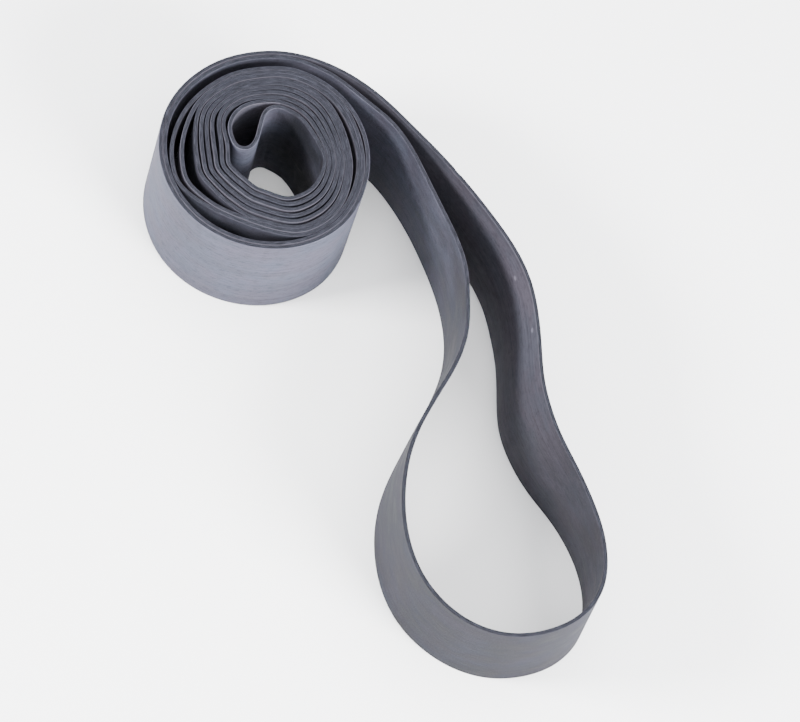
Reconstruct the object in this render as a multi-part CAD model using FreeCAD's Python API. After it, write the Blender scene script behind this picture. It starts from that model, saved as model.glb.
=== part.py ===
"""Stretching strap: one endless rubber band, laid double and rolled up from its inner fold.

The roll stands on edge.  The two plies leave it together and run on as an open free loop
that stands on the same surface.  Every node is a stretch of the same band.
Millimetres, +Z up, floor at z = 0, origin under the middle of the bounding box,
+X from the roll towards the end of the free loop.
"""
import FreeCAD, Part
import math
import os

# ---- driving dimensions -------------------------------------------------------------------
WIDTH = 50.0            # width of the band, standing upright
THICK = 1.4             # thickness of one ply
PLY_GAP = 0.12          # air left between plies that lie against each other
TURNS = 5               # doubled turns wound around the core
EXIT_ANGLE = 136.0      # direction, from the roll's middle, in which the plies leave the roll
HINGE_GAP = 1.0         # cut across the band where the free stretch bends off the roll
FOLD_GAP = 0.9          # cut across the band where the inner fold starts
SLIDE_GAP = 0.4         # cut across the band where the stretching strands meet the loop end
STEP_ANGLE = 12.0       # spacing of the spiral's stations, degrees
STATIONS_PER_SPAN = 3   # stations between two route points of the free loop

# Outside radius of the outermost turn; angles are counted inwards from the exit.
OUTER_RADIUS = [(-15, 39.2), (0, 37.9), (25, 36.4), (55, 36.4), (85, 37.3), (130, 38.0),
                (180, 38.2), (235, 38.5), (265, 36.8), (305, 34.9), (335, 33.4), (360, 32.2)]

# Slack in the winding: (winding angle, half width, depth) of each pocket of air.
PLY_POCKETS = [(298, 27, 0.6), (473, 49, 2.0), (653, 49, 1.5)]
TURN_POCKETS = [(20, 95, 2.8), (85, 50, 1.2), (175, 46, 4.8), (487, 54, 3.9), (1170, 33, 0.7)]
LOOSE_SIDES = [(120, 68, 0.65), (208, 68, 0.75), (335, 55, 0.42)]     # repeated on each turn from the third on
FIRST_LOOSE_TURN = 2

# Inner fold: (winding angle, radius) along its middle line, out on the rear ply and back.
FOLD_ROUTE = [(0, 18.1), (22, 17.4), (42, 17.2), (60, 16.4), (78, 14.5), (92, 12.4),
              (105, 10.3), (109, 6.6), (80, 4.6), (36, 7.3), (24, 11.0), (15, 14.3),
              (0, 16.35)]

# Free loop, from the rear ply's exit around to the front ply's exit: foot of the band
# (x, y from the roll's middle) and how far its top edge leans away from the loop's inside.
LOOP_ROUTE = [
    (-21.6, 31.7, 0.0), (-13.9, 38.0, 0.0), (-5.5, 42.8, 0.0), (4.3, 46.7, 0.0),
    (14.0, 49.6, -0.1), (28.0, 53.3, 0.0), (42.8, 56.2, 0.2), (58.0, 57.4, 1.2),
    (70.0, 56.7, 2.8), (81.3, 53.8, 4.8), (92.6, 49.6, 5.5), (103.3, 44.0, 6.2),
    (114.0, 38.9, 6.3), (126.2, 36.6, 4.9), (137.9, 36.7, 2.8), (149.9, 38.4, 0.3),
    (162.2, 38.8, -1.3), (173.6, 37.1, -1.8), (184.7, 32.4, -1.6), (193.2, 23.9, -0.4),
    (196.9, 12.5, 0.8), (195.7, 0.9, 1.8), (190.7, -10.3, 2.6), (183.0, -18.7, 2.6),
    (172.9, -24.7, 1.8), (161.3, -27.9, 0.4), (148.9, -27.6, -1.0), (137.1, -24.1, -1.9),
    (126.6, -18.4, -2.4), (117.7, -10.8, -2.3), (110.1, -1.4, -2.1), (103.3, 8.5, -2.5),
    (96.6, 18.4, -2.8), (88.9, 28.2, -1.6), (79.9, 35.6, 0.0), (69.0, 40.7, 0.0),
    (57.8, 43.7, 0.6), (45.8, 45.5, 1.4), (34.2, 46.4, 1.5), (22.1, 46.1, 0.6),
    (10.3, 44.2, 0.0), (1.8, 41.2, 0.0), (-5.0, 38.5, 0.0), (-12.9, 35.0, 0.0),
    (-20.2, 30.1, 0.0)]
REAR_ROOT_END = 7       # route points (the exit is number 0) where one node ends
REAR_STRAND_END = 13
FRONT_STRAND_START = 30
FRONT_ROOT_START = 36


# ---- winding ------------------------------------------------------------------------------
def smooth(points, x):
    """Value at x of a smooth curve through (x, y) points."""
    last = len(points) - 1
    i = 0
    while i < last - 1 and x > points[i + 1][0]:
        i += 1
    x0, y0 = points[i]
    x1, y1 = points[i + 1]
    before = points[max(i - 1, 0)]
    after = points[min(i + 2, last)]
    slope0 = (y1 - before[1]) / (x1 - before[0])
    slope1 = (after[1] - y0) / (after[0] - x0)
    span = x1 - x0
    u = (x - x0) / span
    return ((2 * u**3 - 3 * u**2 + 1) * y0 + (u**3 - 2 * u**2 + u) * span * slope0
            + (3 * u**2 - 2 * u**3) * y1 + (u**3 - u**2) * span * slope1)


def pocket_depth(pockets, turn):
    """Air left by a list of pockets at one winding angle."""
    depth = 0.0
    for centre, half_width, deepest in pockets:
        u = (turn - centre) / half_width
        if abs(u) < 1:
            depth += deepest * (1 - u * u) ** 1.5
    return depth


def loose_sides():
    """The pockets that come back on every inner turn."""
    pockets = []
    for number in range(FIRST_LOOSE_TURN, TURNS):
        for centre, half_width, deepest in LOOSE_SIDES:
            pockets.append((centre + 360 * number, half_width, deepest))
    return pockets


def rear_radius(turn):
    """Outside radius of the rear ply at a winding angle (degrees from the exit)."""
    if turn <= 360:
        return smooth(OUTER_RADIUS, turn)
    outer = turn - 360
    return (front_radius(outer) - THICK - PLY_GAP
            - pocket_depth(TURN_POCKETS + loose_sides(), outer))


def front_radius(turn):
    """Outside radius of the front ply, which lies just inside the rear ply."""
    return (rear_radius(turn) - THICK - PLY_GAP
            - pocket_depth(PLY_POCKETS + loose_sides(), turn))


def polar(turn, radius, z=0.0):
    """Point at a winding angle and radius around the roll's middle."""
    angle = math.radians(EXIT_ANGLE + turn)
    return FreeCAD.Vector(radius * math.cos(angle), radius * math.sin(angle), z)


# ---- solids -------------------------------------------------------------------------------
def curve_through(points):
    """Smooth edge through a list of points."""
    curve = Part.BSplineCurve()
    curve.interpolate(points)
    return curve.toShape()


def outline(side_a, side_b):
    """Closed outline between two rows of points that run the same way."""
    edges = [curve_through(side_a),
             Part.makeLine(side_a[-1], side_b[-1]),
             curve_through(side_b[::-1]),
             Part.makeLine(side_b[0], side_a[0])]
    return Part.Wire(edges)


def upright_ply(side_a, side_b):
    """Ply that stands straight up from its outline on the floor."""
    face = Part.Face(outline(side_a, side_b))
    return face.extrude(FreeCAD.Vector(0, 0, WIDTH))


def wound_ply(radius_of, first, last):
    """One ply of the roll between two winding angles."""
    count = max(2, int(round((last - first) / STEP_ANGLE)))
    turns = [first + (last - first) * i / count for i in range(count + 1)]
    outside = [polar(turn, radius_of(turn)) for turn in turns]
    inside = [polar(turn, radius_of(turn) - THICK) for turn in turns]
    return upright_ply(outside, inside)


def make_turn(number):
    """One doubled turn of the roll, number 0 outermost: the rear ply and the front ply."""
    first = 360.0 * number
    last = first + 360.0
    return Part.makeCompound([wound_ply(rear_radius, first, last),
                              wound_ply(front_radius, first, last)])


def resample(points, per_span, parameters=None):
    """Dense points and left-hand normals along the smooth curve through points."""
    curve = Part.BSplineCurve()
    if parameters:
        curve.interpolate(Points=points, Parameters=parameters)
    else:
        curve.interpolate(points)
        parameters = curve.getKnots()
    dense = []
    for k in range(len(parameters) - 1):
        for i in range(per_span):
            share = i / per_span
            dense.append(parameters[k] * (1 - share) + parameters[k + 1] * share)
    dense.append(parameters[-1])
    stations = []
    for value in dense:
        along = curve.tangent(value)[0]
        stations.append((curve.value(value), FreeCAD.Vector(-along.y, along.x, 0).normalize()))
    return stations


def make_inner_fold():
    """Closed inner end of the band: a drop-shaped fold between its two plies."""
    base = 360.0 * TURNS
    points = []
    for turn, radius in FOLD_ROUTE:
        cut = math.degrees(FOLD_GAP / radius)
        points.append(polar(base + max(turn, cut), radius))
    stations = resample(points, STATIONS_PER_SPAN)
    half = THICK / 2
    left = [point + normal * half for point, normal in stations]
    right = [point - normal * half for point, normal in stations]
    return upright_ply(left, right)


def loop_route():
    """Foot and top points of the whole free loop, from exit to exit."""
    exits = [polar(0, radius_of(0) - THICK / 2) for radius_of in (rear_radius, front_radius)]
    feet = [exits[0]] + [FreeCAD.Vector(x, y, 0) for x, y, lean in LOOP_ROUTE] + [exits[1]]
    leans = [0.0] + [lean for x, y, lean in LOOP_ROUTE] + [0.0]
    tops = []
    for i, foot in enumerate(feet):
        along = feet[min(i + 1, len(feet) - 1)] - feet[max(i - 1, 0)]
        outward = FreeCAD.Vector(-along.y, along.x, 0).normalize()
        tops.append(foot + outward * leans[i] + FreeCAD.Vector(0, 0, WIDTH))
    return feet, tops


def chord_parameters(points):
    """Running length along straight chords between points."""
    values = [0.0]
    for a, b in zip(points, points[1:]):
        values.append(values[-1] + a.distanceToPoint(b))
    return values


def make_free_ribbon(first, last, trim_start=0.0, trim_end=0.0):
    """Leaning ribbon of the free loop between two route points."""
    feet, tops = loop_route()
    parameters = chord_parameters(feet)
    half = THICK / 2
    wires = []
    for points in (feet, tops):
        stations = resample(points, STATIONS_PER_SPAN, parameters)
        part = stations[first * STATIONS_PER_SPAN:last * STATIONS_PER_SPAN + 1]
        left = [point + normal * half for point, normal in part]
        right = [point - normal * half for point, normal in part]
        for side in (left, right):
            side[0] = side[0] + (side[1] - side[0]).normalize() * trim_start
            side[-1] = side[-1] + (side[-2] - side[-1]).normalize() * trim_end
        wires.append(outline(left, right))
    return Part.makeLoft(wires, True, True)


def make_nodes():
    """Every node of the strap, in the frame of the roll's middle."""
    last = len(LOOP_ROUTE) + 1
    nodes = {
        "inner_fold": make_inner_fold(),
        "rear_root": make_free_ribbon(0, REAR_ROOT_END, trim_start=HINGE_GAP),
        "rear_strand": make_free_ribbon(REAR_ROOT_END, REAR_STRAND_END, trim_end=SLIDE_GAP),
        "loop_end": make_free_ribbon(REAR_STRAND_END, FRONT_STRAND_START),
        "front_strand": make_free_ribbon(FRONT_STRAND_START, FRONT_ROOT_START,
                                         trim_start=SLIDE_GAP),
        "front_root": make_free_ribbon(FRONT_ROOT_START, last, trim_end=HINGE_GAP),
    }
    for number in range(TURNS):
        nodes["wound_turn_%d" % (number + 1)] = make_turn(number)
    return nodes


def main():
    os.makedirs("parts", exist_ok=True)
    nodes = make_nodes()
    box = Part.makeCompound(list(nodes.values())).BoundBox
    shift = FreeCAD.Vector(-box.Center.x, -box.Center.y, -box.ZMin)
    print("roll middle at", round(shift.x, 2), round(shift.y, 2))
    print("size", round(box.XLength, 1), round(box.YLength, 1), round(box.ZLength, 1))
    for name, shape in nodes.items():
        shape.translate(shift)
        print(name, "valid", shape.isValid(), "solids", len(shape.Solids),
              "volume", round(shape.Volume, 1))
        shape.exportStep("parts/%s.step" % name)


main()
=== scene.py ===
import math
import bpy
import numpy as np
from mathutils import Matrix, Vector


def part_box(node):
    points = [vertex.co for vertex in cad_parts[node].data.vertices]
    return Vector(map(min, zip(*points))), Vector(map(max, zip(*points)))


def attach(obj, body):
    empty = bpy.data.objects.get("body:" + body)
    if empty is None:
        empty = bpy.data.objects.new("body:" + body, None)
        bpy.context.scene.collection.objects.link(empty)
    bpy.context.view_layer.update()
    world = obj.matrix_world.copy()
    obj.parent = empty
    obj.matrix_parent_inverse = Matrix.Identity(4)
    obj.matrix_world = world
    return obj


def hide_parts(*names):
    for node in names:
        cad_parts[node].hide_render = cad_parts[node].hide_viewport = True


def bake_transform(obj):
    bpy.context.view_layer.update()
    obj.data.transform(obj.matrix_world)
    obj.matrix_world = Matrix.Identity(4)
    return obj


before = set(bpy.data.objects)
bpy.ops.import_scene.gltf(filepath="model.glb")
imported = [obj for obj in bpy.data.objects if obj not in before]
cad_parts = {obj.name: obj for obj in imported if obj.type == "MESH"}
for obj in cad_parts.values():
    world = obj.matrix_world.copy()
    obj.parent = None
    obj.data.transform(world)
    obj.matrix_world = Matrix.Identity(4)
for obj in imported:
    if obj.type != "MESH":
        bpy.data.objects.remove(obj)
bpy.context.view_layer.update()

# ---- the band, millimetres from the roll's middle until MM is applied ----------------------
MM = 0.001
WIDTH = 50.0
THICK = 1.4
PLY_GAP = 0.12
TURNS = 5
EXIT_ANGLE = 136.0          # direction from the roll's middle in which the plies leave it
STEP_ANGLE = 12.0           # winding angle between two places on the roll
STATION_SPACING = 1.0       # along the band
ROWS = 16                   # divisions across the band
CHAMFER = 0.16              # softened corner of a cut edge
SHARP_ANGLE = 30.0          # corners of the mesh that stay crisp

# Outside radius of the outermost turn: (winding angle from the exit, radius).
OUTER_RADIUS = [(-15, 39.2), (0, 37.9), (25, 36.4), (55, 36.4), (85, 37.3), (130, 38.0),
                (180, 38.2), (235, 38.5), (265, 36.8), (305, 34.9), (335, 33.4), (360, 32.2)]
# Slack in the winding: (winding angle, half width, depth) of each pocket of air.
PLY_POCKETS = [(298, 27, 0.6), (473, 49, 2.0), (653, 49, 1.5)]
TURN_POCKETS = [(20, 95, 2.8), (85, 50, 1.2), (175, 46, 4.8), (487, 54, 3.9), (1170, 33, 0.7)]
# Slack that comes back on every turn from the first loose one on.
LOOSE_SIDES = [(120, 68, 0.65), (208, 68, 0.75), (335, 55, 0.42)]
FIRST_LOOSE_TURN = 2
# Inner fold: (winding angle, radius) along its middle line, out on the rear ply and back.
FOLD_ROUTE = [(0, 18.1), (22, 17.4), (42, 17.2), (60, 16.4), (78, 14.5), (92, 12.4),
              (105, 10.3), (109, 6.6), (80, 4.6), (36, 7.3), (24, 11.0), (15, 14.3),
              (0, 16.35)]
# Free loop, exit to exit: foot of the band (x, y) and how far its top edge leans outwards.
LOOP_ROUTE = [
    (-21.6, 31.7, 0.0), (-13.9, 38.0, 0.0), (-5.5, 42.8, 0.0), (4.3, 46.7, 0.0),
    (14.0, 49.6, -0.1), (28.0, 53.3, 0.0), (42.8, 56.2, 0.2), (58.0, 57.4, 1.2),
    (70.0, 56.7, 2.8), (81.3, 53.8, 4.8), (92.6, 49.6, 5.5), (103.3, 44.0, 6.2),
    (114.0, 38.9, 6.3), (126.2, 36.6, 4.9), (137.9, 36.7, 2.8), (149.9, 38.4, 0.3),
    (162.2, 38.8, -1.3), (173.6, 37.1, -1.8), (184.7, 32.4, -1.6), (193.2, 23.9, -0.4),
    (196.9, 12.5, 0.8), (195.7, 0.9, 1.8), (190.7, -10.3, 2.6), (183.0, -18.7, 2.6),
    (172.9, -24.7, 1.8), (161.3, -27.9, 0.4), (148.9, -27.6, -1.0), (137.1, -24.1, -1.9),
    (126.6, -18.4, -2.4), (117.7, -10.8, -2.3), (110.1, -1.4, -2.1), (103.3, 8.5, -2.5),
    (96.6, 18.4, -2.8), (88.9, 28.2, -1.6), (79.9, 35.6, 0.0), (69.0, 40.7, 0.0),
    (57.8, 43.7, 0.6), (45.8, 45.5, 1.4), (34.2, 46.4, 1.5), (22.1, 46.1, 0.6),
    (10.3, 44.2, 0.0), (1.8, 41.2, 0.0), (-5.0, 38.5, 0.0), (-12.9, 35.0, 0.0),
    (-20.2, 30.1, 0.0)]

# Places along the band, counted in winding steps and route points from the rear ply's inner end.
WOUND_STEPS = int(360 * TURNS / STEP_ANGLE)
REAR_EXIT = WOUND_STEPS
FRONT_EXIT = REAR_EXIT + len(LOOP_ROUTE) + 1
INNER_END = FRONT_EXIT + WOUND_STEPS
REAR_ROOT_END = REAR_EXIT + 7
REAR_STRAND_END = REAR_EXIT + 13
FRONT_STRAND_START = REAR_EXIT + 30
FRONT_ROOT_START = REAR_EXIT + 36
SPLINE_OVERLAP = 20         # points repeated at both ends so that the band closes smoothly

BEND_LEAD = 2               # winding steps before the exit that belong to the roots, not the wound plies
TAIL_BEND_REACH = 14.0      # reach of the line through the tail's hinge, either side of it
FOLD_BEND_LENGTH = 9.0
FOLD_HINGE_RADIUS = 17.2    # between the fold's two walls, at its root
FOLD_TIP = (105, 10.0)      # (winding angle from the hinge, radius) towards which the fold runs

# How far the middle of the band's width bows to its outer side: (route point, bow).
BOW = [(0, 0.0), (4, -0.5), (8, -1.2), (12, -2.0), (15, -0.8), (20, 0.0), (30, 0.0),
       (36, 0.6), (41, 1.0), (46, 0.0)]
FOLD_SLUMP = 1.0            # how far the fold's free wall leans out at its foot
NICK_PLACE = REAR_EXIT + 6.6        # small nick in the rear strand's top edge
NICK_DEPTH = 0.5
NICK_LENGTH = 2.6
NICK_ROWS = 20              # the nick reaches down one of this many parts of the width
RISE = 0.29                 # of the band above the floor, on average
RISE_WAVES = [(0.14, 61.0, 0.6), (0.08, 23.0, 2.0), (0.05, 9.7, 0.0)]   # (height, length, phase)

# ---- the rubber's look along the band ------------------------------------------------------
# Bloom on the band's outer side, partly real dust and partly painted light: raised on the roll's
# outer wall, on the front strand by the roll and on the inner fold, and held at nil on the core's
# wall as painted shade: (place, amount).
BLOOM_AND_PAINTED_LIGHT = [(0, 0.08), (REAR_EXIT - 31, 0.08), (REAR_EXIT - 29, 0.8), (REAR_EXIT - 24, 0.8),
         (REAR_EXIT - 18, 1.0), (REAR_EXIT - 15, 0.72), (REAR_EXIT - 12, 0.58),
         (REAR_EXIT - 10, 0.72), (REAR_EXIT - 4, 0.72), (REAR_EXIT + 3, 0.0),
         (REAR_EXIT + 18, 0.0), (REAR_EXIT + 21, 0.07), (REAR_EXIT + 22, 0.0),
         (FRONT_EXIT - 11, 0.0), (FRONT_EXIT - 8, 0.24), (FRONT_EXIT + 2, 0.2),
         (INNER_END - 30, 0.0), (INNER_END - 2, 0.0), (INNER_END + 2, 0.65)]
# Painted shade on the band's inner side, on the rear ply in the roll and as it leaves it, and
# round the free loop's far end: (place, amount).
PAINTED_INSIDE_SHADE = [(REAR_EXIT + 5, 0.8), (REAR_EXIT + 9, 0.0), (REAR_EXIT + 11, 0.0),
                (REAR_EXIT + 18, 1.0), (FRONT_EXIT - 17, 1.0), (FRONT_EXIT - 10, 0.0)]
PALE_SPOTS = [(112.5, 42.5), (133.5, 46.5)]     # (run beyond the exit, height), inner side
SPOT_RADIUS = 1.3
SPOT_CORE = 0.3
PALE_EDGE_DEPTH = 1.2          # paler strip along both edges
# Patterns: scale along the band, up it and through it, detail and roughness of the noise.
PATCHES = ((60, 85, 2), 5, 0.65)
STREAKS = ((14, 620, 3), 4, 0.6)
GRAIN = ((2100, 2400, 2), 3, 0.6)
WEAVE = ((330, 900, 2), 3, 0.65)
SPECKS = ((900, 900, 5), 2, 0.5)
WARMTH = ((50, 60, 4), 4, 0.65)
CUT_MARKS = ((260, 200, 9), 4, 0.7)
FLOOR_PATCHES = ((3, 3, 3), 2, 0.5)
COOL_TINT = (0.96, 1.0, 1.05, 1)
WARM_TINT = (1.04, 0.98, 1.02, 1)
SHEEN_TINT = (0.80, 0.83, 1.0, 1.0)

# ---- floor, camera and light --------------------------------------------------------------
FLOOR_HALF = 2.5            # metres
FLOOR_TONES = (0.86, 0.86, 0.87, 1), (0.88, 0.88, 0.88, 1)
CAMERA_AZIMUTH = 41.0
CAMERA_ELEVATION = 66.0
CAMERA_ROLL = 21.5
CAMERA_DISTANCE = 1965.0
CLIP_RANGE = (0.05, 20)     # metres
LENS = 252.0
SENSOR_WIDTH = 36
TARGET = (75.2, 19.8)       # middle of the view on the floor, from the roll's middle
# Softboxes: name, azimuth from the camera's, elevation, distance and size in metres, power.
LIGHTS = [("key", -66, 37, 1.2, 0.34, 40),
          ("overhead", 100, 82, 1.5, 1.2, 34),
          ("fill", 64, 32, 1.6, 0.7, 100)]
SKY_COLOUR = (0.95, 0.97, 1.0, 1)
SKY_STRENGTH = 2.1


# ---- course of the band -------------------------------------------------------------------
def smooth(points, x):
    """Value at x of a smooth curve through (x, y) points."""
    last = len(points) - 1
    i = 0
    while i < last - 1 and x > points[i + 1][0]:
        i += 1
    x0, y0 = points[i]
    x1, y1 = points[i + 1]
    before = points[max(i - 1, 0)]
    after = points[min(i + 2, last)]
    slope0 = (y1 - before[1]) / (x1 - before[0])
    slope1 = (after[1] - y0) / (after[0] - x0)
    span = x1 - x0
    u = (x - x0) / span
    return ((2 * u**3 - 3 * u**2 + 1) * y0 + (u**3 - 2 * u**2 + u) * span * slope0
            + (3 * u**2 - 2 * u**3) * y1 + (u**3 - u**2) * span * slope1)


def pocket_depth(pockets, turn):
    """Air left by a list of pockets at one winding angle."""
    depth = 0.0
    for centre, half_width, deepest in pockets:
        u = (turn - centre) / half_width
        if abs(u) < 1:
            depth += deepest * (1 - u * u) ** 1.5
    return depth


def loose_sides():
    """The pockets that come back on every inner turn."""
    pockets = []
    for number in range(FIRST_LOOSE_TURN, TURNS):
        for centre, half_width, deepest in LOOSE_SIDES:
            pockets.append((centre + 360 * number, half_width, deepest))
    return pockets


def rear_radius(turn):
    """Outside radius of the rear ply, turn degrees of winding in from the exit."""
    if turn <= 360:
        return smooth(OUTER_RADIUS, turn)
    outer = turn - 360
    return (front_radius(outer) - THICK - PLY_GAP
            - pocket_depth(TURN_POCKETS + loose_sides(), outer))


def front_radius(turn):
    """Outside radius of the front ply, which lies just inside the rear ply."""
    return (rear_radius(turn) - THICK - PLY_GAP
            - pocket_depth(PLY_POCKETS + loose_sides(), turn))


def polar(turn, radius):
    """Point at a winding angle and radius around the roll's middle."""
    angle = math.radians(EXIT_ANGLE + turn)
    return np.array([radius * math.cos(angle), radius * math.sin(angle)])


def natural_spline(knots, values, at):
    """Natural cubic spline through values at knots, evaluated at other parameters."""
    h = np.diff(knots)
    count = len(knots)
    system = np.eye(count)
    right = np.zeros((count, values.shape[1]))
    for i in range(1, count - 1):
        system[i, i - 1:i + 2] = h[i - 1], 2 * (h[i - 1] + h[i]), h[i]
        right[i] = 6 * ((values[i + 1] - values[i]) / h[i]
                        - (values[i] - values[i - 1]) / h[i - 1])
    second = np.linalg.solve(system, right)
    k = np.clip(np.searchsorted(knots, at, side="right") - 1, 0, count - 2)
    a = ((knots[k + 1] - at) / h[k])[:, None]
    b = 1 - a
    return (a * values[k] + b * values[k + 1]
            + ((a**3 - a) * second[k] + (b**3 - b) * second[k + 1]) * (h[k]**2)[:, None] / 6)


def left_normals(points):
    """Unit normals to the left of a row of points."""
    along = np.gradient(points, axis=0)
    along /= np.linalg.norm(along, axis=1)[:, None]
    return np.stack([-along[:, 1], along[:, 0]], axis=1)


def fold_slump(share):
    """Lean of the fold's foot at a share of its length, fading out along the second wall."""
    return FOLD_SLUMP * math.sin(math.pi * share) * min(1.0, max(0.0, 1.4 - 1.6 * share))


def band_points():
    """Centre points once round the band, with the shift of its foot and of its top."""
    steps = [STEP_ANGLE * i for i in range(WOUND_STEPS + 1)]
    rear = [polar(turn, rear_radius(turn) - THICK / 2) for turn in reversed(steps)]
    front = [polar(turn, front_radius(turn) - THICK / 2) for turn in steps]
    fold = [polar(360 * TURNS + turn, radius) for turn, radius in reversed(FOLD_ROUTE[1:-1])]
    route = [(x, y) for x, y, lean in LOOP_ROUTE]
    points = np.array(rear + route + front + fold)
    foot_shift = np.zeros(len(points))
    top_shift = np.zeros(len(points))
    top_shift[REAR_EXIT + 1:FRONT_EXIT] = [lean for x, y, lean in LOOP_ROUTE]
    for i in range(len(fold)):
        foot_shift[INNER_END + 1 + i] = fold_slump((i + 1) / (len(fold) + 1))
    return points, foot_shift, top_shift


class Band:
    """The closed band as smooth foot and top lines over one shared run."""

    def __init__(self):
        points, foot_shift, top_shift = band_points()
        around = np.arange(-SPLINE_OVERLAP, len(points) + SPLINE_OVERLAP) % len(points)
        points = points[around]
        normals = left_normals(points)
        self.feet = points + normals * foot_shift[around][:, None]
        self.tops = points + normals * top_shift[around][:, None]
        gaps = np.linalg.norm(np.diff(points, axis=0), axis=1)
        self.knots = np.r_[0, np.cumsum(gaps)]
        self.knots -= self.knots[SPLINE_OVERLAP]
        self.places = np.arange(len(points)) - SPLINE_OVERLAP
        self.inner_end = len(foot_shift)

    def run(self, place):
        """Length of band from the rear ply's inner end to a place."""
        return float(np.interp(place, self.places, self.knots))


class Stretch:
    """Closely spaced stations of the band between two places."""

    def __init__(self, band, first, last):
        start = band.run(first)
        end = band.run(last)
        self.length = end - start
        self.run = np.linspace(start, end, int(self.length / STATION_SPACING) + 2)
        self.foot = natural_spline(band.knots, band.feet, self.run)
        self.top = natural_spline(band.knots, band.tops, self.run)
        place = np.interp(self.run, band.knots, band.places)
        route = np.clip(place - REAR_EXIT, BOW[0][0], BOW[-1][0])
        self.bow = np.array([smooth(BOW, number) for number in route])
        off_nick = (self.run - band.run(NICK_PLACE)) / (NICK_LENGTH / 2)
        self.nick = NICK_DEPTH * np.exp(-off_nick ** 4)


# ---- meshes -------------------------------------------------------------------------------
def band_section():
    """Closed section of the band as (share of thickness, share of width) pairs."""
    across = CHAMFER / WIDTH
    through = CHAMFER / THICK
    rows = np.linspace(across, 1 - across, ROWS + 1)
    left = [(0.5, up) for up in rows]
    right = [(-0.5, up) for up in rows[::-1]]
    top = [(0.5 - through, 1.0), (0.0, 1.0), (-0.5 + through, 1.0)]
    bottom = [(-0.5 + through, 0.0), (0.0, 0.0), (0.5 - through, 0.0)]
    return np.array(left + top + right + bottom)


def edge_drift(run):
    """Small slow rise of the band above the floor along its length."""
    rise = RISE
    for height, length, phase in RISE_WAVES:
        rise = rise + height * np.sin(run / length + phase)
    return rise


def ribbon_points(stretch):
    """Mesh points, station by station round the closed section."""
    section = band_section()
    foot_normal = left_normals(stretch.foot)
    top_normal = left_normals(stretch.top)
    rise = edge_drift(stretch.run)
    points = np.empty((len(stretch.run), len(section), 3))
    for k, (through, up) in enumerate(section):
        line = stretch.foot * (1 - up) + stretch.top * up
        normal = foot_normal * (1 - up) + top_normal * up
        offset = THICK * through + stretch.bow * 4 * up * (1 - up)
        nicked = max(0.0, NICK_ROWS * up - (NICK_ROWS - 1))
        points[:, k, :2] = line + normal * offset[:, None]
        points[:, k, 2] = WIDTH * up + rise - stretch.nick * nicked
    return points


def ribbon_faces(stations, count):
    """Faces of a closed ribbon: its long sides and its two ends."""
    faces = []
    for i in range(stations - 1):
        for k in range(count):
            a = i * count + k
            b = i * count + (k + 1) % count
            faces.append((a, a + count, b + count, b))
    faces.append(tuple(range(count)))
    faces.append(tuple((stations - 1) * count + k for k in reversed(range(count))))
    return faces


def mark_band(mesh, stretch):
    """Stores each point's run, height and side of the band for the rubber's pattern."""
    section = band_section()
    values = np.empty((len(stretch.run), len(section), 3), np.float32)
    values[:, :, 0] = stretch.run[:, None] * MM
    values[:, :, 1] = section[None, :, 1] * WIDTH * MM
    values[:, :, 2] = 2 * section[None, :, 0]
    attribute = mesh.attributes.new("band", "FLOAT_VECTOR", "POINT")
    attribute.data.foreach_set("vector", values.ravel())


def ribbon(name, stretch, nodes, bodies, bend=None):
    """Builds one stretch of the band and stands it in for its CAD nodes."""
    points = ribbon_points(stretch)
    stations, count, _ = points.shape
    vertices = (points.reshape(-1, 3) + ROLL_MIDDLE) * MM
    mesh = bpy.data.meshes.new(name)
    mesh.from_pydata(vertices.tolist(), [], ribbon_faces(stations, count))
    mark_band(mesh, stretch)
    mesh.polygons.foreach_set("use_smooth", [True] * len(mesh.polygons))
    mesh.set_sharp_from_angle(angle=math.radians(SHARP_ANGLE))
    mesh.materials.append(RUBBER)
    obj = bpy.data.objects.new(name, mesh)
    bpy.context.scene.collection.objects.link(obj)
    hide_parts(*nodes)
    if bend is None:
        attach(obj, *bodies)
    else:
        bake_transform(obj)


def find_roll_middle():
    """Where the roll's middle is, from the box of its outermost turn."""
    low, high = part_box("wound_turn_1")
    turns = np.arange(0, 361, 2)
    edge = np.array([polar(turn, rear_radius(turn)) for turn in turns])
    near = edge.min(0) + edge.max(0)
    return np.array([(low.x + high.x) / MM - near[0], (low.y + high.y) / MM - near[1], 0]) / 2


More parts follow.
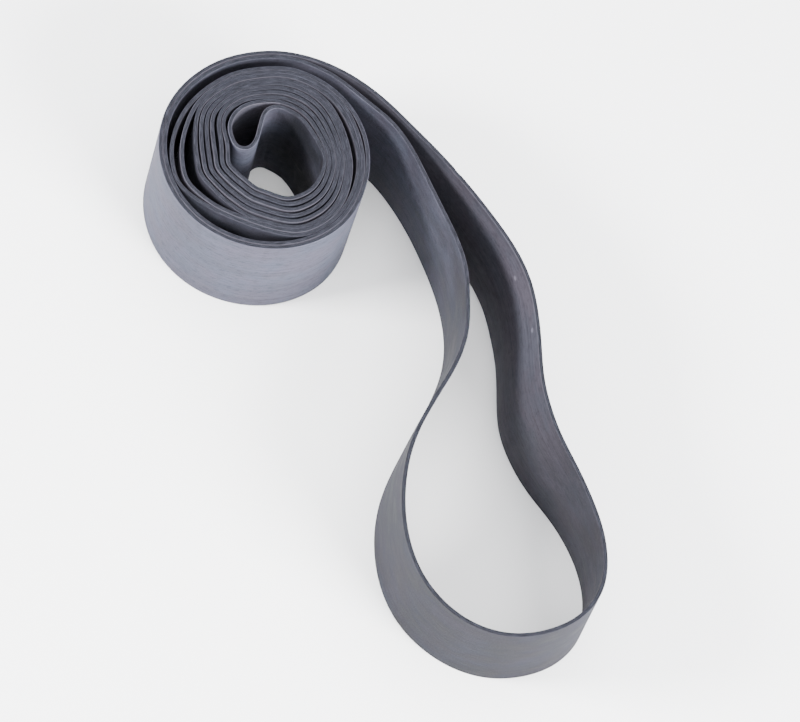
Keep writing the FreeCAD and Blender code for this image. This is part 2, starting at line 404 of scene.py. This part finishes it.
# ---- materials ----------------------------------------------------------------------------
class Graph:
    """Small helper around a shader node tree."""

    def __init__(self, name):
        self.material = bpy.data.materials.new(name)
        self.material.use_nodes = True
        self.tree = self.material.node_tree
        self.shader = self.tree.nodes["Principled BSDF"]

    def link(self, value, socket):
        """Feeds a socket from another socket or with a constant."""
        if isinstance(value, bpy.types.NodeSocket):
            self.tree.links.new(value, socket)
        else:
            socket.default_value = value

    def math(self, operation, a, b=0.0):
        node = self.tree.nodes.new("ShaderNodeMath")
        node.operation = operation
        self.link(a, node.inputs[0])
        self.link(b, node.inputs[1])
        return node.outputs[0]

    def weighted(self, base, amount, share):
        """base + amount x share."""
        return self.math("ADD", base, self.math("MULTIPLY", amount, share))

    def vector(self, operation, a, b, output="Vector"):
        node = self.tree.nodes.new("ShaderNodeVectorMath")
        node.operation = operation
        self.link(a, node.inputs[0])
        self.link(b, node.inputs[1])
        return node.outputs[output]

    def ramp(self, value, low, high, out_low=0.0, out_high=1.0):
        """Smooth step of value between low and high."""
        node = self.tree.nodes.new("ShaderNodeMapRange")
        node.interpolation_type = "SMOOTHSTEP"
        for socket, number in zip(node.inputs[1:5], (low, high, out_low, out_high)):
            socket.default_value = number
        self.link(value, node.inputs[0])
        return node.outputs[0]

    def mix(self, factor, a, b):
        node = self.tree.nodes.new("ShaderNodeMix")
        node.data_type = "RGBA"
        self.link(factor, node.inputs["Factor"])
        self.link(a, node.inputs[6])
        self.link(b, node.inputs[7])
        return node.outputs[2]

    def along_band(self, run, stops):
        """Value of a (place, amount) polyline over the band's run."""
        full = BAND.run(BAND.inner_end) * MM
        node = self.tree.nodes.new("ShaderNodeValToRGB")
        elements = node.color_ramp.elements
        while len(elements) < len(stops):
            elements.new(1.0)
        for element, (place, amount) in zip(elements, stops):
            element.position = BAND.run(place) * MM / full
            element.color = (amount, amount, amount, 1.0)
        self.link(self.math("DIVIDE", run, full), node.inputs["Fac"])
        return node.outputs["Color"]

    def noise(self, where, pattern):
        """Noise over where, for a pattern of scales, detail and roughness."""
        scales, detail, roughness = pattern
        node = self.tree.nodes.new("ShaderNodeTexNoise")
        node.inputs["Scale"].default_value = 1.0
        node.inputs["Detail"].default_value = detail
        node.inputs["Roughness"].default_value = roughness
        self.link(self.vector("MULTIPLY", where, scales), node.inputs["Vector"])
        return node.outputs["Fac"]

    def bump(self, height, distance, strength, normal=None):
        node = self.tree.nodes.new("ShaderNodeBump")
        node.inputs["Distance"].default_value = distance
        node.inputs["Strength"].default_value = strength
        self.link(height, node.inputs["Height"])
        if normal is not None:
            self.link(normal, node.inputs["Normal"])
        return node.outputs["Normal"]


def grey(value):
    """Nearly neutral grey of the bare rubber."""
    return (value * 1.02, value * 0.98, value * 1.20, 1.0)


def pale(value):
    """Bluish grey of the bloom with its painted light, and of the dust."""
    return (value * 0.97, value, value * 1.32, 1.0)


class BandSurface:
    """Where a point of the band lies, and the patterns that its colour and relief share."""

    def __init__(self, g):
        attribute = g.tree.nodes.new("ShaderNodeAttribute")
        attribute.attribute_name = "band"
        self.where = attribute.outputs["Vector"]
        split = g.tree.nodes.new("ShaderNodeSeparateXYZ")
        g.link(self.where, split.inputs[0])
        run, self.height, side = split.outputs
        self.outside = g.ramp(side, -0.4, 0.4)
        self.cut_edge = g.ramp(g.math("ABSOLUTE", side), 0.86, 0.70)
        # Bloom and painted light along the band's outer side.
        self.bloom_and_painted_light_along = g.along_band(run, BLOOM_AND_PAINTED_LIGHT)
        # Painted shade along the band's inner side.
        self.painted_shade_inside = g.along_band(run, PAINTED_INSIDE_SHADE)
        self.bloom_and_painted_light_outside = g.math("MULTIPLY", self.outside, self.bloom_and_painted_light_along)
        self.powder = g.mix(self.outside, grey(0.085), pale(0.085))
        self.patches = g.noise(self.where, PATCHES)
        self.streaks = g.noise(self.where, STREAKS)
        self.grain = g.noise(self.where, GRAIN)


def bare_colour(g, band):
    """The rubber's two sides with painted shade inside, bloom and painted light outside, and
    clouds of dust that thicken with the bloom and painted light.
    """
    # The inner side's colour darkens with its painted shade.
    inside = g.mix(band.painted_shade_inside, grey(0.044), grey(0.014))
    colour = g.mix(band.outside, inside, grey(0.0072))
    # Paler with the bloom and painted light on the outer side.
    colour = g.mix(band.bloom_and_painted_light_outside, colour, pale(0.074))
    cloud = g.ramp(band.patches, 0.35, 0.68)
    dust = g.math("MULTIPLY", cloud, g.weighted(0.17, band.bloom_and_painted_light_outside, 0.36))
    return g.mix(dust, colour, band.powder)


def marked_colour(g, band, colour):
    """Streaks along the band, its fine weave and grain, and light specks."""
    streaked = g.math("MULTIPLY", g.ramp(band.streaks, 0.42, 0.68), 0.24)
    colour = g.mix(streaked, colour, grey(0.006))
    weave = g.ramp(g.noise(band.where, WEAVE), 0.48, 0.68)
    colour = g.mix(g.math("MULTIPLY", weave, 0.36), colour, grey(0.008))
    # The grain shows more where the bloom and painted light are.
    grained = g.weighted(0.12, band.bloom_and_painted_light_along, 0.30)
    grained = g.math("MULTIPLY", g.ramp(band.grain, 0.46, 0.66), grained)
    colour = g.mix(grained, colour, band.powder)
    specks = g.ramp(g.noise(band.where, SPECKS), 0.68, 0.76)
    return g.mix(g.math("MULTIPLY", specks, 0.12), colour, pale(0.13))


def spotted_colour(g, band, colour):
    """Two pale spots on the inner side of the rear strand."""
    for run, height in PALE_SPOTS:
        place = (EXIT_RUN + run * MM, height * MM, -1.0)
        away = g.vector("DISTANCE", band.where, place, "Value")
        spot = g.ramp(away, SPOT_RADIUS * MM, SPOT_CORE * MM, 0.0, 0.32)
        colour = g.mix(spot, colour, grey(0.20))
    return colour


def edged_colour(g, band, colour):
    """Paler strips beside the two edges, stronger where the bloom and painted light are, and the
    marks on the cut edges themselves.
    """
    from_edge = g.math("MINIMUM", band.height, g.math("SUBTRACT", WIDTH * MM, band.height))
    pale_edge_strip = g.ramp(from_edge, PALE_EDGE_DEPTH * MM, 0.0)
    pale_edge_strip = g.math("MULTIPLY", pale_edge_strip, g.ramp(band.patches, 0.3, 0.6))
    pale_edge_strip = g.math("MULTIPLY", pale_edge_strip, g.weighted(0.07, band.bloom_and_painted_light_along, 0.18))
    colour = g.mix(pale_edge_strip, colour, grey(0.10))
    marks = g.ramp(g.noise(band.where, CUT_MARKS), 0.42, 0.68)
    return g.mix(band.cut_edge, colour, g.mix(marks, pale(0.006), pale(0.036)))


def finish_rubber(g, band):
    """Dull, slightly uneven surface with a faint relief."""
    rough = g.ramp(band.patches, 0.3, 0.7, 0.56, 0.74)
    g.link(g.weighted(rough, band.cut_edge, 0.12), g.shader.inputs["Roughness"])
    g.shader.inputs["Specular IOR Level"].default_value = 0.05
    g.shader.inputs["Sheen Weight"].default_value = 0.012
    g.shader.inputs["Sheen Roughness"].default_value = 0.45
    g.shader.inputs["Sheen Tint"].default_value = SHEEN_TINT
    normal = g.bump(band.patches, 0.0006, 0.35)
    normal = g.bump(band.streaks, 0.00010, 0.5, normal)
    normal = g.bump(band.grain, 0.00004, 0.7, normal)
    g.link(normal, g.shader.inputs["Normal"])


def make_rubber():
    """Dusty dark rubber: paler outside with bloom and painted light, darker inside with painted
    shade, streaked along the band, flecked edges.
    """
    g = Graph("band_rubber")
    band = BandSurface(g)
    colour = bare_colour(g, band)
    colour = marked_colour(g, band, colour)
    colour = spotted_colour(g, band, colour)
    warmth = g.ramp(g.noise(band.where, WARMTH), 0.38, 0.62)
    colour = g.vector("MULTIPLY", colour, g.mix(warmth, COOL_TINT, WARM_TINT))
    colour = edged_colour(g, band, colour)
    g.link(colour, g.shader.inputs["Base Color"])
    finish_rubber(g, band)
    return g.material


def make_floor():
    """Plain pale floor, which is no part of the strap."""
    g = Graph("floor_matte")
    coordinates = g.tree.nodes.new("ShaderNodeTexCoord").outputs["Object"]
    tone = g.ramp(g.noise(coordinates, FLOOR_PATCHES), 0.3, 0.7)
    g.link(g.mix(tone, *FLOOR_TONES), g.shader.inputs["Base Color"])
    g.shader.inputs["Roughness"].default_value = 0.9
    corners = [(-1, -1), (1, -1), (1, 1), (-1, 1)]
    vertices = [(x * FLOOR_HALF, y * FLOOR_HALF, 0) for x, y in corners]
    mesh = bpy.data.meshes.new("floor")
    mesh.from_pydata(vertices, [], [(0, 1, 2, 3)])
    mesh.materials.append(g.material)
    floor = bpy.data.objects.new("floor", mesh)
    bpy.context.scene.collection.objects.link(floor)


# ---- band pieces --------------------------------------------------------------------------
def tail_bend():
    """Line centred on the tail's hinge, along the roll's outer turn at the exit."""
    hinge = polar(0, rear_radius(0) - THICK - PLY_GAP / 2)
    angle = math.radians(EXIT_ANGLE)
    along = np.array([math.sin(angle), -math.cos(angle)])
    return hinge - along * TAIL_BEND_REACH, hinge + along * TAIL_BEND_REACH


def fold_bend():
    """Line from the inner fold's hinge towards its tip."""
    hinge = polar(360 * TURNS, FOLD_HINGE_RADIUS)
    tip = polar(360 * TURNS + FOLD_TIP[0], FOLD_TIP[1])
    along = (tip - hinge) / np.linalg.norm(tip - hinge)
    return hinge, hinge + along * FOLD_BEND_LENGTH


def strand_bend(tail_foot, tail_top, loop_foot, loop_top):
    """Line along +X between a strand's two ends, clear of its end faces."""
    y = tail_foot[1]
    start = max(tail_foot[0], tail_top[0]) + THICK
    end = min(loop_foot[0], loop_top[0]) - THICK
    return (start, y), (end, y)


def make_wound_plies(band):
    """The two plies of the whole roll."""
    nodes = ["wound_turn_%d" % (i + 1) for i in range(TURNS)]
    rear = Stretch(band, 0, REAR_EXIT - BEND_LEAD)
    ribbon("rear_ply_wound", rear, nodes, ["roll"])
    front = Stretch(band, FRONT_EXIT + BEND_LEAD, INNER_END)
    ribbon("front_ply_wound", front, nodes, ["roll"])


def make_fold(band):
    """The drop-shaped fold in the core."""
    fold = Stretch(band, INNER_END, band.inner_end)
    ribbon("inner_fold_band", fold, ["inner_fold"], ["roll", "fold"],
           fold_bend())


def make_roots(band):
    """Both plies where they leave the roll."""
    rear = Stretch(band, REAR_EXIT - BEND_LEAD, REAR_ROOT_END)
    ribbon("rear_root_band", rear, ["rear_root"], ["roll", "tail"], tail_bend())
    front = Stretch(band, FRONT_ROOT_START, FRONT_EXIT + BEND_LEAD)
    ribbon("front_root_band", front, ["front_root"], ["roll", "tail"],
           tail_bend())


def make_strands(band):
    """The stretching parts of the free loop."""
    rear = Stretch(band, REAR_ROOT_END, REAR_STRAND_END)
    bend = strand_bend(rear.foot[0], rear.top[0], rear.foot[-1], rear.top[-1])
    ribbon("rear_strand_band", rear, ["rear_strand"], ["tail", "loop"], bend)
    front = Stretch(band, FRONT_STRAND_START, FRONT_ROOT_START)
    bend = strand_bend(front.foot[-1], front.top[-1], front.foot[0], front.top[0])
    ribbon("front_strand_band", front, ["front_strand"], ["tail", "loop"],
           bend)


def make_loop_end(band):
    """The rounded far end of the free loop."""
    loop_end = Stretch(band, REAR_STRAND_END, FRONT_STRAND_START)
    ribbon("loop_end_band", loop_end, ["loop_end"], ["loop"])


# ---- camera and light ---------------------------------------------------------------------
def direction(azimuth, elevation):
    """Unit vector from the object towards an azimuth and elevation in degrees."""
    a = math.radians(azimuth)
    e = math.radians(elevation)
    return Vector((math.sin(a) * math.cos(e), -math.cos(a) * math.cos(e), math.sin(e)))


def make_camera():
    """Long lens, looking steeply down, turned about its own line of sight."""
    back = direction(CAMERA_AZIMUTH, CAMERA_ELEVATION)
    target = Vector(((TARGET[0] + ROLL_MIDDLE[0]) * MM, (TARGET[1] + ROLL_MIDDLE[1]) * MM, 0))
    data = bpy.data.cameras.new("camera")
    data.lens = LENS
    data.sensor_width = SENSOR_WIDTH
    data.clip_start, data.clip_end = CLIP_RANGE
    camera = bpy.data.objects.new("camera", data)
    camera.location = target + back * CAMERA_DISTANCE * MM
    turn = Matrix.Rotation(math.radians(CAMERA_ROLL), 3, back)
    aim = (-back).to_track_quat("-Z", "Y").to_matrix()
    camera.rotation_mode = "QUATERNION"
    camera.rotation_quaternion = (turn @ aim).to_quaternion()
    bpy.context.scene.collection.objects.link(camera)
    bpy.context.scene.camera = camera


def area_light(name, azimuth, elevation, distance, size, power):
    """Square softbox aimed at the origin; azimuth is measured as the camera's is."""
    back = direction(azimuth, elevation)
    data = bpy.data.lights.new(name, "AREA")
    data.size = size
    data.energy = power
    light = bpy.data.objects.new(name, data)
    light.location = back * distance
    light.rotation_mode = "QUATERNION"
    light.rotation_quaternion = (-back).to_track_quat("-Z", "Y")
    bpy.context.scene.collection.objects.link(light)


def make_lights():
    """Three softboxes under an even pale sky."""
    for name, azimuth, elevation, distance, size, power in LIGHTS:
        area_light(name, CAMERA_AZIMUTH + azimuth, elevation, distance, size, power)
    world = bpy.data.worlds.new("world")
    world.use_nodes = True
    background = world.node_tree.nodes["Background"]
    background.inputs["Color"].default_value = SKY_COLOUR
    background.inputs["Strength"].default_value = SKY_STRENGTH
    bpy.context.scene.world = world


ROLL_MIDDLE = find_roll_middle()
BAND = Band()
EXIT_RUN = BAND.run(REAR_EXIT) * MM
RUBBER = make_rubber()
make_wound_plies(BAND)
make_fold(BAND)
make_roots(BAND)
make_strands(BAND)
make_loop_end(BAND)
make_floor()
make_lights()
make_camera()
